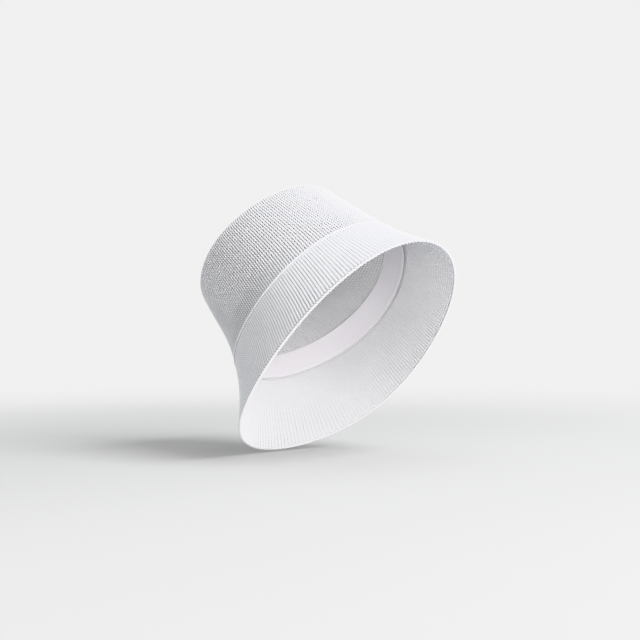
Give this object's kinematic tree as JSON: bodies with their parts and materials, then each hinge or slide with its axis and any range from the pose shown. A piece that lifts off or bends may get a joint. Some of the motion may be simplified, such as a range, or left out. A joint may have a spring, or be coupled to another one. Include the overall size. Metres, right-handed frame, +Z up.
{
  "type": "knitted bucket hat",
  "caption": "Plain white coarse-knit bucket hat with a flat-topped crown, a down-sloping brim and a ribbon sweatband, tipped back as worn on a head.",
  "frame": {"origin": "centre of the head opening, level with the crown's foot at forehead and nape", "axes": "the frame of the wearer's upright head: +Z up, the wearer faces -Y, +X to the wearer's left; the hat's own axis leans back 45 degrees from +Z towards +Y"},
  "size_m": [0.2092, 0.267, 0.2631],
  "materials": {
    "knit": "coarse open mesh knit of matt paper-cotton yarn",
    "knit_rib": "close ribbed knit of matt paper-cotton yarn, ribs running out to the edge",
    "seam_loops": "raised ridge of linked loops",
    "edge_loops": "cast-off edge with one small scallop to each rib",
    "nylon": "clear drawn monofilament",
    "crimp": "plain drawn tube",
    "grosgrain": "ribbed ribbon, ribs across its length",
    "thread": "twisted sewing thread",
    "label_satin": "blank woven satin"
  },
  "bodies": {
    "root": {"crown_tip": "knit", "crown_side": "knit", "tip_seam": "seam_loops", "brim": "knit_rib", "brim_seam": "seam_loops", "brim_edge": "edge_loops", "edge_wire": "nylon", "wire_joiner": "crimp", "sweatband": "grosgrain", "sweatband_lap": "grosgrain", "sweatband_stitching": "thread", "maker_label": "label_satin", "care_label": "label_satin"}
  },
  "joints": []
}
